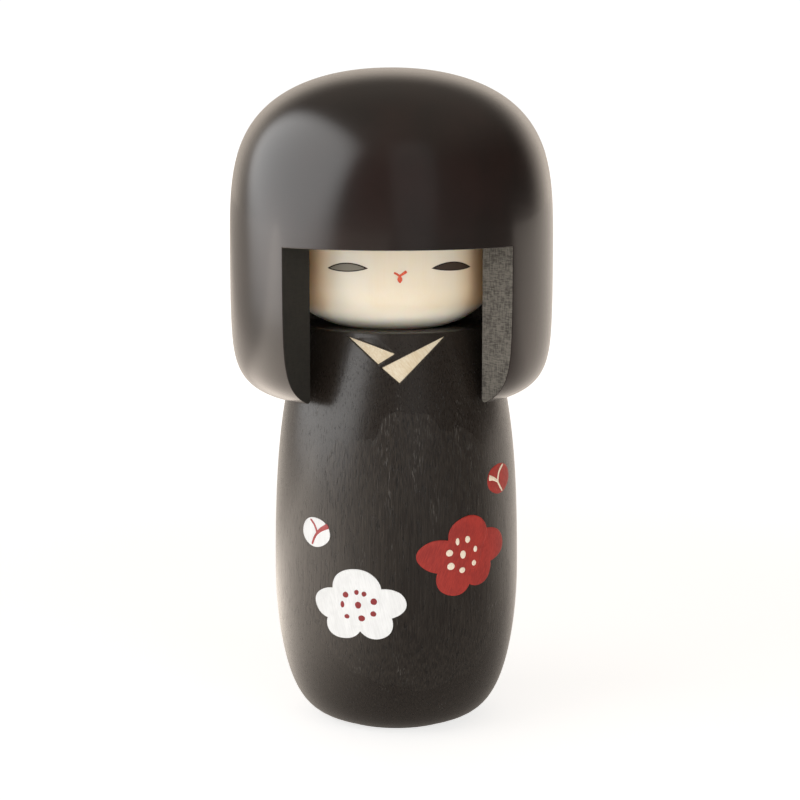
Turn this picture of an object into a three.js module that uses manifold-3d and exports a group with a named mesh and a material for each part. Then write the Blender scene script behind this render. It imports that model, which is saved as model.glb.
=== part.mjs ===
// A wooden kokeshi doll: a turned barrel body, a pale face drum pegged on it, and a turned bob of hair that
// is bored out and pegged over the drum. Millimetres, +Z up, the face looks along -Y, and the origin is the
// centre of the foot.
import * as THREE from "three";
import { mergeVertices } from "three/addons/utils/BufferGeometryUtils.js";
import Module from "manifold-3d";

// ---- Driving dimensions -------------------------------------------------------------------------------
const dollHeight = 150; // foot to crown

// Body: a barrel with a flat foot and a flat top
const bodyRadius = 28.2; // at the widest ring
const bodyWidestZ = 34;
const bodyTopZ = 92;
const footRadius = 14.6; // flat ring that it stands on
const footRoundPower = 1.75; // how soon the barrel turns in towards the foot
const footRoundBulge = 6; // how square it turns in
const shoulderDrop = 3.05; // of the radius from the widest ring to the top, in its square term
const shoulderDropFourth = 4.4; // and in its fourth-power term
const bodyTopEdge = 0.5; // rounding of the top edge
const dishDepth = 1.1; // shallow dish in the top that the chin turns in

// Face drum: the head's core, turned from pale wood
const drumRadius = 23.5;
const drumChinHeight = 11.5; // height of the rounded chin
const drumChinWidth = 17; // how far in the chin rounds
const drumTopEdge = 1;

// Hair: one turned bob
const hairRadius = 36.9; // at the widest ring
const hairWidestRise = 11; // of the widest ring above the body's top
const hemDrop = 17.6; // of the hem below the body's top
const crownFlatness = 2.1; // how flat the crown is on top
const crownSquareness = 4.2; // how square its shoulders are
const hairTaper = 0.028; // share of the radius lost between the widest ring and the hem
const hairHemPower = 6; // how soon the sides turn in at the hem
const hairHemBulge = 4.6; // how square they turn in
const boreRise = 27; // of the bore's end above the body's top
const hemInnerEdge = 0.8; // rounding inside the hem
const fringeRise = 19.4; // of the fringe's underside above the body's top
const windowHalfAngle = 42.5; // degrees from the middle of the face to each cheek cut

// Head on body
const headOffset = -1.1; // the neck hole is drilled this far to one side of the body's axis
const turningGap = 0.3; // between the drum's chin and the dish
const dishGap = 0.6; // between the chin and the side of the dish
const bodyInBoreGap = 1.2; // between the body and the hair that turns round it
const drumInBoreGap = 2; // between the drum and the bore, at the least

// Dowels
const neckDowelRadius = 5;
const neckDowelInBody = 22;
const neckDowelInDrum = 16;
const crownDowelRadius = 4;
const crownDowelInDrum = 9;
const crownDowelDepth = 0.35; // share of the crown's thickness that the dowel is let into
const dowelChamfer = 0.8;
const dowelFlutes = 12;
const fluteDepth = 0.35;
const glueGap = 0.12; // radial, between a glued dowel and its hole
const runningGap = 0.1; // radial, between the neck dowel and the drum that turns on it
const holeEndGap = 1; // left under the end of a dowel
const seatGap = 0.3; // between pieces glued face to face

// Collar: two shallow cuts with sloping sides, painted in
const collarDepth = 0.4;
const collarReach = 5; // of the cutting bar to each side of the surface
const collarSlope = 8.5; // degrees that the cuts' sides rise outwards
// corners clockwise from outside, as [degrees round the body from the face's middle, drop below its top]
const collarUnder = [
  [-35.4, 0.8],
  [-3, 4.4],
  [-12.9, 6.9],
];
const collarOver = [
  [30.2, 0.6],
  [-1.4, 10.9],
  [-11.5, 7.4],
];

const roundSteps = 60; // facets round each turned piece
const holeSteps = 32;

// ---- Helpers ------------------------------------------------------------------------------------------
const wasm = await Module();
wasm.setup();
const { PI, sin, cos, pow, sqrt } = Math;
const radians = THREE.MathUtils.degToRad;

// A closed three.js geometry as a manifold-3d solid.
function solid(geometry) {
  const bare = geometry.clone();
  for (const name of Object.keys(bare.attributes)) if (name !== "position") bare.deleteAttribute(name);
  const merged = mergeVertices(bare, 1e-4);
  return new wasm.Manifold(
    new wasm.Mesh({
      numProp: 3,
      vertProperties: merged.attributes.position.array,
      triVerts: new Uint32Array(merged.index.array),
    }),
  );
}

// A manifold-3d solid as a three.js geometry.
function geometryOf(made) {
  const mesh = made.getMesh();
  const geometry = new THREE.BufferGeometry();
  geometry.setAttribute("position", new THREE.BufferAttribute(mesh.vertProperties, 3));
  geometry.setIndex(new THREE.BufferAttribute(mesh.triVerts, 1));
  geometry.computeVertexNormals();
  return geometry;
}

// An outline of [radius, height] points, from the axis round to the axis, turned about +Z.
function turned(outline, steps = roundSteps) {
  const points = outline.map(([radius, height]) => new THREE.Vector2(radius, height));
  return new THREE.LatheGeometry(points, steps).rotateX(PI / 2);
}

// A straight hole, or a peg, between two heights.
function cylinder(radius, fromZ, toZ, steps = holeSteps) {
  return turned([[0, fromZ], [radius, fromZ], [radius, toZ], [0, toZ]], steps);
}

const range = (count) => Array.from({ length: count + 1 }, (_, i) => i / count);

// A point on an upright surface of revolution, from its bearing off the face's middle.
function onSurface(radiusAt, [bearing, z]) {
  const angle = radians(bearing);
  return new THREE.Vector3(radiusAt(z) * sin(angle), -radiusAt(z) * cos(angle), z);
}

// A closed three-sided bar through three points, reaching the same distance behind and in front of them.
function bar(corners, reach) {
  const back = corners.map((corner) => corner.clone().sub(reach));
  const front = corners.map((corner) => corner.clone().add(reach));
  const positions = [...back, ...front].flatMap((p) => p.toArray());
  const geometry = new THREE.BufferGeometry();
  geometry.setAttribute("position", new THREE.Float32BufferAttribute(positions, 3));
  geometry.setIndex([0, 1, 2, 3, 5, 4, 0, 3, 4, 0, 4, 1, 1, 4, 5, 1, 5, 2, 2, 5, 3, 2, 3, 0]);
  return geometry;
}

// ---- Heights and radii that follow from the sizes -----------------------------------------------------
const chinZ = bodyTopZ - dishDepth + turningGap;
const fringeZ = bodyTopZ + fringeRise;
const hairWidestZ = bodyTopZ + hairWidestRise;
const hairHemZ = bodyTopZ - hemDrop;
const hairBoreTopZ = bodyTopZ + boreRise;
const drumTopZ = hairBoreTopZ - seatGap;
const crownDowelInHair = (dollHeight - hairBoreTopZ) * crownDowelDepth;
const hairBoreRadius = Math.max(
  shoulderRadius(hairHemZ) + Math.abs(headOffset) + bodyInBoreGap,
  drumRadius + drumInBoreGap,
);
const chinFlatRadius = drumRadius - drumChinWidth;
const chinInDish = (dishDepth - turningGap) / drumChinHeight; // share of the chin that is down in the dish
const chinAtRim = chinFlatRadius + drumChinWidth * sqrt(1 - (1 - chinInDish) ** 2);
const dishRadius = chinAtRim + Math.abs(headOffset) + dishGap;

// ---- Body ---------------------------------------------------------------------------------------------
function shoulderRadius(z) {
  const rise = (z - bodyWidestZ) / (bodyTopZ - bodyWidestZ);
  return bodyRadius - shoulderDrop * rise ** 2 - shoulderDropFourth * rise ** 4;
}

// The barrel, or the same barrel thinner all round.
function bodyOutline(thinner = 0) {
  const lower = range(12)
    .map((step) => (1 - step) * (PI / 2))
    .map((turn) => [
      bodyRadius * pow(cos(turn), 2 / footRoundBulge),
      bodyWidestZ * (1 - pow(sin(turn), 2 / footRoundPower)),
    ])
    .filter(([radius]) => radius > footRadius + 0.3);
  const edgeZ = bodyTopZ - bodyTopEdge;
  const upper = range(8)
    .slice(1)
    .map((step) => bodyWidestZ + (edgeZ - bodyWidestZ) * step)
    .map((z) => [shoulderRadius(z), z]);
  const edgeCentre = shoulderRadius(edgeZ) - bodyTopEdge;
  const edge = range(3)
    .slice(1)
    .map((step) => step * (PI / 2))
    .map((turn) => [edgeCentre + bodyTopEdge * cos(turn), edgeZ + bodyTopEdge * sin(turn)]);
  const round = [[footRadius, 0], ...lower, ...upper, ...edge].map(([r, z]) => [r - thinner, z]);
  return [[0, 0], ...round, [0, bodyTopZ]];
}

// A cut of even depth in the barrel, with its corners on the surface.
function collarCut(corners) {
  const slope = radians(collarSlope);
  const reach = new THREE.Vector3(0, -cos(slope), sin(slope)).multiplyScalar(collarReach);
  const points = corners.map(([bearing, drop]) => onSurface(shoulderRadius, [bearing, bodyTopZ - drop]));
  return solid(bar(points, reach)).subtract(solid(turned(bodyOutline(collarDepth))));
}

function bodyGeometry() {
  const neckHole = cylinder(
    neckDowelRadius + glueGap,
    bodyTopZ - neckDowelInBody - holeEndGap,
    bodyTopZ + 1,
  ).translate(headOffset, 0, 0);
  const dish = cylinder(dishRadius, bodyTopZ - dishDepth, bodyTopZ + 1, roundSteps);
  return geometryOf(
    solid(turned(bodyOutline()))
      .subtract(solid(dish))
      .subtract(solid(neckHole))
      .subtract(collarCut(collarUnder))
      .subtract(collarCut(collarOver)),
  );
}

// ---- Head, about its own axis -------------------------------------------------------------------------
function drumGeometry() {
  const chin = range(8)
    .slice(1)
    .map((step) => step * (PI / 2))
    .map((turn) => [chinFlatRadius + drumChinWidth * sin(turn), chinZ + drumChinHeight * (1 - cos(turn))]);
  const top = range(3)
    .map((step) => step * (PI / 2))
    .map((turn) => [
      drumRadius - drumTopEdge * (1 - cos(turn)),
      drumTopZ - drumTopEdge * (1 - sin(turn)),
    ]);
  const drum = turned([[0, chinZ], [chinFlatRadius, chinZ], ...chin, ...top, [0, drumTopZ]]);
  const neckHole = cylinder(
    neckDowelRadius + runningGap,
    chinZ - 1,
    bodyTopZ + neckDowelInDrum + holeEndGap,
  );
  const crownHole = cylinder(
    crownDowelRadius + glueGap,
    drumTopZ - crownDowelInDrum - holeEndGap,
    drumTopZ + 1,
  );
  return geometryOf(solid(drum).subtract(solid(neckHole)).subtract(solid(crownHole)));
}

function hairOutline() {
  const crown = dollHeight - hairWidestZ;
  const top = range(14)
    .map((step) => (1 - step) * (PI / 2))
    .map((turn) => [
      hairRadius * pow(cos(turn), 2 / crownFlatness),
      hairWidestZ + crown * pow(sin(turn), 2 / crownSquareness),
    ])
    .map(([radius, z], i) => [i === 0 ? 0 : radius, z]);
  const drop = hairWidestZ - hairHemZ;
  const sides = range(12)
    .slice(1)
    .map((step) => step * (PI / 2))
    .map((turn) => {
      const fall = pow(sin(turn), 2 / hairHemPower);
      const turnIn = pow(cos(turn), 2 / hairHemBulge);
      return [hairRadius * (1 - hairTaper * fall ** 2) * turnIn, hairWidestZ - drop * fall];
    })
    .filter(([radius]) => radius > hairBoreRadius + hemInnerEdge);
  const lip = hairBoreRadius + hemInnerEdge;
  const lipZ = sides[sides.length - 1][1];
  const inner = range(3)
    .map((step) => step * (PI / 2))
    .map((turn) => [lip - hemInnerEdge * sin(turn), lipZ + hemInnerEdge * (1 - cos(turn))]);
  return [...top, ...sides, ...inner, [hairBoreRadius, hairBoreTopZ], [0, hairBoreTopZ]].reverse();
}

// The open wedge in front of the face, with its edge on the head's axis.
function windowCut() {
  const reach = hairRadius * 2;
  const half = radians(windowHalfAngle);
  const shape = new THREE.Shape([
    new THREE.Vector2(0, 0),
    new THREE.Vector2(-reach * sin(half), -reach * cos(half)),
    new THREE.Vector2(reach * sin(half), -reach * cos(half)),
  ]);
  const depth = fringeZ - hairHemZ + 10;
  return new THREE.ExtrudeGeometry(shape, { depth, bevelEnabled: false }).translate(0, 0, fringeZ - depth);
}

function hairGeometry() {
  const crownHole = cylinder(
    crownDowelRadius + glueGap,
    hairBoreTopZ - 1,
    hairBoreTopZ + crownDowelInHair + holeEndGap,
  );
  return geometryOf(
    solid(turned(hairOutline())).subtract(solid(windowCut())).subtract(solid(crownHole)),
  );
}

// A fluted, chamfered dowel standing on a height.
function dowelGeometry(radius, fromZ, length) {
  const outline = range(dowelFlutes * 4)
    .slice(1)
    .map((step, i) => {
      const r = radius - dowelChamfer - (i % 4 === 0 ? fluteDepth : 0);
      return new THREE.Vector2(r * cos(2 * PI * step), r * sin(2 * PI * step));
    });
  return new THREE.ExtrudeGeometry(new THREE.Shape(outline), {
    depth: length - 2 * dowelChamfer,
    bevelThickness: dowelChamfer,
    bevelSize: dowelChamfer,
    bevelSegments: 1,
  }).translate(0, 0, fromZ + dowelChamfer);
}

// ---- Materials and assembly ---------------------------------------------------------------------------
const material = (color, roughness) => new THREE.MeshStandardMaterial({ color, roughness, metalness: 0 });
const stainedWood = material("#2b2521", 0.4);
const paleWood = material("#e6dac2", 0.35);
const lacqueredHair = material("#30251f", 0.22);
const beech = material("#c9a878", 0.7);

function piece(name, geometry, finish) {
  const mesh = new THREE.Mesh(geometry, finish);
  mesh.name = name;
  return mesh;
}

const doll = new THREE.Group();
doll.add(piece("body", bodyGeometry(), stainedWood));

const head = new THREE.Group();
head.position.x = headOffset;
head.add(
  piece(
    "neck_dowel",
    dowelGeometry(neckDowelRadius, bodyTopZ - neckDowelInBody, neckDowelInBody + neckDowelInDrum),
    beech,
  ),
  piece("face_drum", drumGeometry(), paleWood),
  piece(
    "crown_dowel",
    dowelGeometry(crownDowelRadius, drumTopZ - crownDowelInDrum, crownDowelInDrum + seatGap + crownDowelInHair),
    beech,
  ),
  piece("hair_bob", hairGeometry(), lacqueredHair),
);
doll.add(head);

export default doll;
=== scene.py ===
from math import ceil, cos, hypot, pi, radians, sin, sqrt, tan

import bpy
from bpy.props import FloatProperty, FloatVectorProperty, PointerProperty
from bpy.types import Operator, Panel, PropertyGroup
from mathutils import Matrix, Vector


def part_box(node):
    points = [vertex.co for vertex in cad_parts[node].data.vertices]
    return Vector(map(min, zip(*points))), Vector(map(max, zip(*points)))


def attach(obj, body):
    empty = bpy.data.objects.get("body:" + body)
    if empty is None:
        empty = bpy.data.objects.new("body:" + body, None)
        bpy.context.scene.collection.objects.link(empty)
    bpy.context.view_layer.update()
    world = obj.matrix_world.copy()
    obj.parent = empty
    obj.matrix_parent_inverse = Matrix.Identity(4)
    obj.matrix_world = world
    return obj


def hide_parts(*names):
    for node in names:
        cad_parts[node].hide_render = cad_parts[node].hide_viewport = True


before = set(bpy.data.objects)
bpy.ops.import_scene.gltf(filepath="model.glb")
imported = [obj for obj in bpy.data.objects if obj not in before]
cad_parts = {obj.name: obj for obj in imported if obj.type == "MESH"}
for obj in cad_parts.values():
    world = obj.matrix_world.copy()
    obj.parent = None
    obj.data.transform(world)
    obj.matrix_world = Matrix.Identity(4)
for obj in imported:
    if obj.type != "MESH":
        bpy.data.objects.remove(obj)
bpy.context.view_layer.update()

bl_info = {
    "name": "Kokeshi doll",
    "version": (1, 0, 0),
    "blender": (4, 5, 0),
    "location": "View3D > Sidebar > Kokeshi",
    "description": "Turns, carves and paints a wooden doll around its packed frame",
    "category": "Object",
}

MM = 0.001
BODY_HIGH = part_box("body")[1]
DRUM_LOW, DRUM_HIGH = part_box("face_drum")
HAIR_LOW, HAIR_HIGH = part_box("hair_bob")

# Curves of the turned outlines
FOOT_ROUND_POWER = 1.75  # how soon the barrel turns in towards the foot
FOOT_ROUND_BULGE = 6  # how square it turns in
SHOULDER_DROP = 3.05 * MM  # of the radius from the widest ring to the top, in its square term
SHOULDER_DROP_FOURTH = 4.4 * MM  # and in its fourth-power term
DISH_EDGE = 0.15 * MM  # bevel round the dish
DRUM_TOP_EDGE = 1 * MM
CROWN_FLATNESS = 2.1  # how flat the crown is on top
CROWN_SQUARENESS = 4.2  # how square its shoulders are
HAIR_TAPER = 0.028  # share of the radius lost between the widest ring and the hem
HEM_ROUND_POWER = 6  # how soon the hair's sides turn in at the hem
HEM_ROUND_BULGE = 4.6  # how square they turn in
HEM_HEIGHT = 74.4 * MM  # where the sides would meet the axis, below the open hem
HEM_INNER_EDGE = 0.8 * MM
SEAT_GAP = 0.3 * MM  # between the drum's top and the end of the bore

# How paint lies on the wood
PAINT_ROOT = 0.04 * MM  # how far a film of paint reaches below the surface
COAT_STEP = 0.018 * MM  # each petal's height above the last
DOT_THICKNESS = 0.24 * MM
STEM_THICKNESS = 0.12 * MM


# ---- Sizes and colours --------------------------------------------------------------------------------


def length(name, description, default):
    return FloatProperty(
        name=name, description=description, default=default, min=0.0, unit="LENGTH", precision=5
    )


def colour(name, description, default):
    return FloatVectorProperty(
        name=name, description=description, default=default, size=4, min=0.0, max=1.0, subtype="COLOR"
    )


class KokeshiSizes(PropertyGroup):
    """Sizes of the turned pieces and of the cuts in them"""

    body_radius: length("Body radius", "Radius of the barrel at its widest ring", BODY_HIGH.x)
    body_height: length("Body height", "Height of the barrel's flat top", BODY_HIGH.z)
    body_widest: length("Widest ring", "Height of the barrel's widest ring", 34 * MM)
    foot_radius: length("Foot radius", "Radius of the flat foot", 14.6 * MM)
    shoulder_edge: length("Shoulder edge", "Rounding of the barrel's top edge", 0.5 * MM)
    dish_radius: length("Dish radius", "Radius of the shallow dish in the barrel's top", 14.45 * MM)
    dish_depth: length("Dish depth", "Depth of the dish that the chin turns in", 1.1 * MM)
    drum_radius: length("Drum radius", "Radius of the face drum", (DRUM_HIGH.x - DRUM_LOW.x) / 2)
    chin_height: length("Chin height", "Height of the rounding under the face", 11.5 * MM)
    chin_width: length("Chin width", "How far in the face rounds underneath", 17 * MM)
    hair_radius: length("Hair radius", "Radius of the hair's widest ring", (HAIR_HIGH.x - HAIR_LOW.x) / 2)
    hair_widest: length("Hair's widest ring", "Height of the hair's widest ring", 103 * MM)
    hair_bore: length("Hair bore", "Radius of the hollow in the hair", 28 * MM)
    fringe_height: length("Fringe height", "Height of the underside of the fringe", 111.4 * MM)
    window_angle: FloatProperty(
        name="Window", description="Angle that the face window spans", default=radians(85), subtype="ANGLE"
    )
    cut_edge: length("Cut edge", "Softening of the sawn edges of the hair", 0.22 * MM)
    collar_depth: length("Collar depth", "Depth of the carved collar", 0.4 * MM)
    paint_thickness: length("Paint thickness", "Thickness of a painted petal", 0.07 * MM)


class KokeshiColours(PropertyGroup):
    """Colours of the wood, the lacquer and the paints, and of the light and shade painted on the face and
    the left cut
    """

    stain: colour("Body stain", "Near-black stain on the body", (0.015, 0.011, 0.0085, 1))
    stain_worn: colour("Worn stain", "Stain where polishing has thinned it", (0.042, 0.033, 0.025, 1))
    pore: colour("Pores", "Stain deep in the body's pores", (0.006, 0.005, 0.004, 1))
    pore_wax: colour("Wax in the pores", "Pale wax left in a few pores", (0.12, 0.105, 0.09, 1))
    lacquer: colour("Hair lacquer", "Dark brown lacquer", (0.0135, 0.0095, 0.008, 1))
    lacquer_warm: colour("Warm lacquer", "Redder cast of the lacquer", (0.021, 0.012, 0.01, 1))
    sawn: colour("Sawn wood", "Stained wood where the hair is cut", (0.16, 0.145, 0.122, 1))
    sawn_dark: colour("Sawn pores", "Stain deep in the sawn wood's pores", (0.055, 0.049, 0.042, 1))
    # Painted shade: the left cut gets a darker copy of the sawn wood, as the key light misses it
    sawn_painted_shade: colour("Left cut in painted shade", "The left cut, painted darker for the shade it lies in", (0.026, 0.023, 0.018, 1))
    pores_painted_shade: colour("Left cut pores in painted shade", "Pores of the left cut, painted darker as shade", (0.02, 0.018, 0.0145, 1))
    skin: colour("Face", "Pale waxed wood of the face", (0.82, 0.745, 0.615, 1))
    skin_deep: colour("Face grain", "Deeper tone in the face's grain", (0.79, 0.68, 0.51, 1))
    # Painted light: a paler colour for the underside of the chin, which lies in shade
    skin_painted_light: colour("Painted light under the chin", "Paler colour painted under the chin as light", (0.96, 0.88, 0.74, 1))
    # Painted shade: a browner colour for the sides of the face, where they lie in the hair's shade
    skin_painted_shade: colour("Face side shade", "Browner colour painted at the face's sides as shade", (0.9, 0.5, 0.18, 1))
    ink: colour("Eye ink", "Brown-black ink round the eyes", (0.02, 0.013, 0.01, 1))
    ink_thin: colour("Thin ink", "Ink worn thin in the left eye", (0.2, 0.18, 0.14, 1))
    ink_thick: colour("Thick ink", "Ink in the right eye", (0.055, 0.036, 0.026, 1))
    lips: colour("Mouth", "Orange-red of the mouth", (0.76, 0.14, 0.06, 1))
    lips_deep: colour("Deep mouth", "Mouth where the ink is thick", (0.55, 0.05, 0.02, 1))
    collar: colour("Collar", "Cream of the collar", (0.84, 0.74, 0.57, 1))
    collar_worn: colour("Worn collar", "Cream where the brush left it thin", (0.72, 0.58, 0.38, 1))
    white: colour("White paint", "White of the petals", (0.9, 0.9, 0.89, 1))
    red: colour("Red paint", "Red of the petals", (0.42, 0.032, 0.02, 1))
    red_dark: colour("Deep red", "Red where the paint is thick", (0.3, 0.022, 0.016, 1))
    dowel: colour("Dowel", "Bare dowel wood", (0.56, 0.37, 0.19, 1))


# ---- Outlines of the turned pieces --------------------------------------------------------------------


def evenly(points, spacing):
    """The same open line with points at an even spacing along it."""
    runs = [0.0]
    for (r0, z0), (r1, z1) in zip(points, points[1:]):
        runs.append(runs[-1] + hypot(r1 - r0, z1 - z0))
    count = max(1, ceil(runs[-1] / spacing))
    made, at = [], 0
    for i in range(count + 1):
        wanted = runs[-1] * i / count
        while at < len(points) - 2 and runs[at + 1] < wanted:
            at += 1
        share = (wanted - runs[at]) / max(runs[at + 1] - runs[at], 1e-12)
        (r0, z0), (r1, z1) = points[at], points[at + 1]
        made.append((r0 + (r1 - r0) * share, z0 + (z1 - z0) * share))
    return made


def body_surface(z):
    """Radius of the barrel at a height."""
    sizes = bpy.context.scene.kokeshi_sizes
    if z < sizes.body_widest:
        fall = min(1 - z / sizes.body_widest, 1)
        return sizes.body_radius * (1 - fall**FOOT_ROUND_POWER) ** (1 / FOOT_ROUND_BULGE)
    rise = (z - sizes.body_widest) / (sizes.body_height - sizes.body_widest)
    return sizes.body_radius - SHOULDER_DROP * rise**2 - SHOULDER_DROP_FOURTH * rise**4


def body_skin(z):
    """The same, with the rounding of the top edge."""
    sizes = bpy.context.scene.kokeshi_sizes
    edge_z = sizes.body_height - sizes.shoulder_edge
    if z <= edge_z:
        return body_surface(z)
    over = min(z - edge_z, sizes.shoulder_edge)
    return body_surface(edge_z) - sizes.shoulder_edge + sqrt(sizes.shoulder_edge**2 - over**2)


def body_outline(fine_from):
    """The barrel from the middle of its foot to the middle of its top, closer together above a height."""
    sizes = bpy.context.scene.kokeshi_sizes
    turns = [pi / 2 * (1 - i / 300) for i in range(301)]
    lower = [
        (
            sizes.body_radius * cos(t) ** (2 / FOOT_ROUND_BULGE),
            sizes.body_widest * (1 - sin(t) ** (2 / FOOT_ROUND_POWER)),
        )
        for t in turns
    ]
    lower = [point for point in lower if point[0] > sizes.foot_radius + 0.3 * MM]
    edge_z = sizes.body_height - sizes.shoulder_edge
    steps = [i / 200 for i in range(1, 201)]
    middle = [sizes.body_widest + (fine_from - sizes.body_widest) * s for s in steps]
    upper = [fine_from + (edge_z - fine_from) * s for s in steps]
    lower += [(body_surface(z), z) for z in middle]
    edge_r = body_surface(edge_z) - sizes.shoulder_edge
    edge = [
        (edge_r + sizes.shoulder_edge * cos(pi / 2 * s), edge_z + sizes.shoulder_edge * sin(pi / 2 * s))
        for s in [0] + steps[19::20]
    ]
    foot = [(0, 0), (sizes.foot_radius / 2, 0), (sizes.foot_radius, 0)]
    fine = evenly([lower[-1]] + [(body_surface(z), z) for z in upper], 0.13 * MM)
    floor = sizes.body_height - sizes.dish_depth
    dish = [
        (sizes.dish_radius + DISH_EDGE, sizes.body_height),
        (sizes.dish_radius, sizes.body_height - DISH_EDGE),
        (sizes.dish_radius, floor),
        (sizes.dish_radius / 2, floor),
        (0, floor),
    ]
    return foot + evenly(lower, 1.2 * MM) + fine[1:] + edge[1:] + dish


def drum_outline():
    """The drum from the middle of its underside to the middle of its top."""
    sizes = bpy.context.scene.kokeshi_sizes
    low, high = DRUM_LOW.z, DRUM_HIGH.z
    flat = sizes.drum_radius - sizes.chin_width
    quarter = [pi / 2 * i / 60 for i in range(61)]
    chin = [(flat + sizes.chin_width * sin(t), low + sizes.chin_height * (1 - cos(t))) for t in quarter]
    top = [
        (sizes.drum_radius - DRUM_TOP_EDGE * (1 - cos(t)), high - DRUM_TOP_EDGE * (1 - sin(t)))
        for t in quarter[::10]
    ]
    side = evenly([chin[-1], top[0]], 1.5 * MM)
    return [(0, low), (flat / 2, low)] + evenly(chin, 0.4 * MM) + side[1:] + top[1:] + [(0, high)]


def hair_outline():
    """The bob from the middle of its crown down its outside, and from its hem up the bore to the axis."""
    sizes = bpy.context.scene.kokeshi_sizes
    widest, radius, crown = sizes.hair_widest, sizes.hair_radius, HAIR_HIGH.z - sizes.hair_widest
    quarter = [pi / 2 * i / 400 for i in range(401)]
    top = []
    for t in reversed(quarter):
        turn_in = max(cos(t), 0) ** (2 / CROWN_FLATNESS)
        top.append((radius * turn_in, widest + crown * sin(t) ** (2 / CROWN_SQUARENESS)))
    top[0] = (0, HAIR_HIGH.z)
    drop = widest - HEM_HEIGHT
    lip = sizes.hair_bore + HEM_INNER_EDGE
    side = []
    for t in quarter:
        fall = sin(t) ** (2 / HEM_ROUND_POWER)
        turn_in = max(cos(t), 0) ** (2 / HEM_ROUND_BULGE)
        side.append((radius * (1 - HAIR_TAPER * fall**2) * turn_in, widest - drop * fall))
    side = [point for point in side if point[0] > lip]
    lip_z = side[-1][1]
    inner = [(lip - HEM_INNER_EDGE * sin(t), lip_z + HEM_INNER_EDGE * (1 - cos(t))) for t in quarter[::80]]
    bore_top = DRUM_HIGH.z + SEAT_GAP
    bore = [(sizes.hair_bore, bore_top), (0, bore_top)]
    outside = evenly(top + side[1:], 0.93 * MM)
    return outside, inner + bore


# ---- Meshes -------------------------------------------------------------------------------------------


def new_piece(name, vertices, faces, body, *nodes):
    """A smooth-shaded object that rides on a body, and may stand for the body's plain pieces."""
    mesh = bpy.data.meshes.new(name)
    mesh.from_pydata(vertices, [], faces)
    mesh.validate()
    mesh.update()
    mesh.shade_smooth()
    piece = bpy.data.objects.new(name, mesh)
    bpy.context.scene.collection.objects.link(piece)
    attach(piece, body)
    if nodes:
        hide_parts(*nodes)
    return piece


def turn(outline, bearings, axis_x=0.0, inset=None):
    """Vertices and faces of an outline that starts and ends on the axis, turned through the bearings."""
    vertices, rings, faces = [], [], []
    for r, z in outline:
        if r == 0:
            rings.append([len(vertices)])
            vertices.append((axis_x, 0, z))
            continue
        rings.append(range(len(vertices), len(vertices) + len(bearings)))
        for b in bearings:
            deep = r - inset(b, r, z) if inset else r
            vertices.append((axis_x + deep * sin(b), -deep * cos(b), z))
    count = len(bearings)
    for below, above in zip(rings, rings[1:]):
        for i in range(count):
            j = (i + 1) % count
            if len(below) == 1:
                faces.append((below[0], above[j], above[i]))
            elif len(above) == 1:
                faces.append((below[i], below[j], above[0]))
            else:
                faces.append((below[i], below[j], above[j], above[i]))
    return vertices, faces


def spread(start, end, count):
    """Bearings at the middles of equal steps between two bearings."""
    return [start + (end - start) * (i + 0.5) / count for i in range(count)]


def settle(piece):
    """Applies a piece's modifiers."""
    graph = bpy.context.evaluated_depsgraph_get()
    made = bpy.data.meshes.new_from_object(piece.evaluated_get(graph), depsgraph=graph)
    piece.modifiers.clear()
    piece.data = made


# ---- Paint on a turned surface ------------------------------------------------------------------------


class Surface:
    """A turned surface that paint lies on. Places on it are (distance along the girth, height) in metres."""

    def __init__(self, radius_at, axis_x=0.0):
        self.radius_at = radius_at
        self.axis_x = axis_x

    def point(self, centre, along, up, lift):
        """A point a little off the surface, measured from a centre given as (bearing, height)."""
        z = centre[1] + up
        radius = self.radius_at(z)
        bearing = centre[0] + along / radius
        return (
            self.axis_x + (radius + lift) * sin(bearing),
            -(radius + lift) * cos(bearing),
            z,
        )


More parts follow.
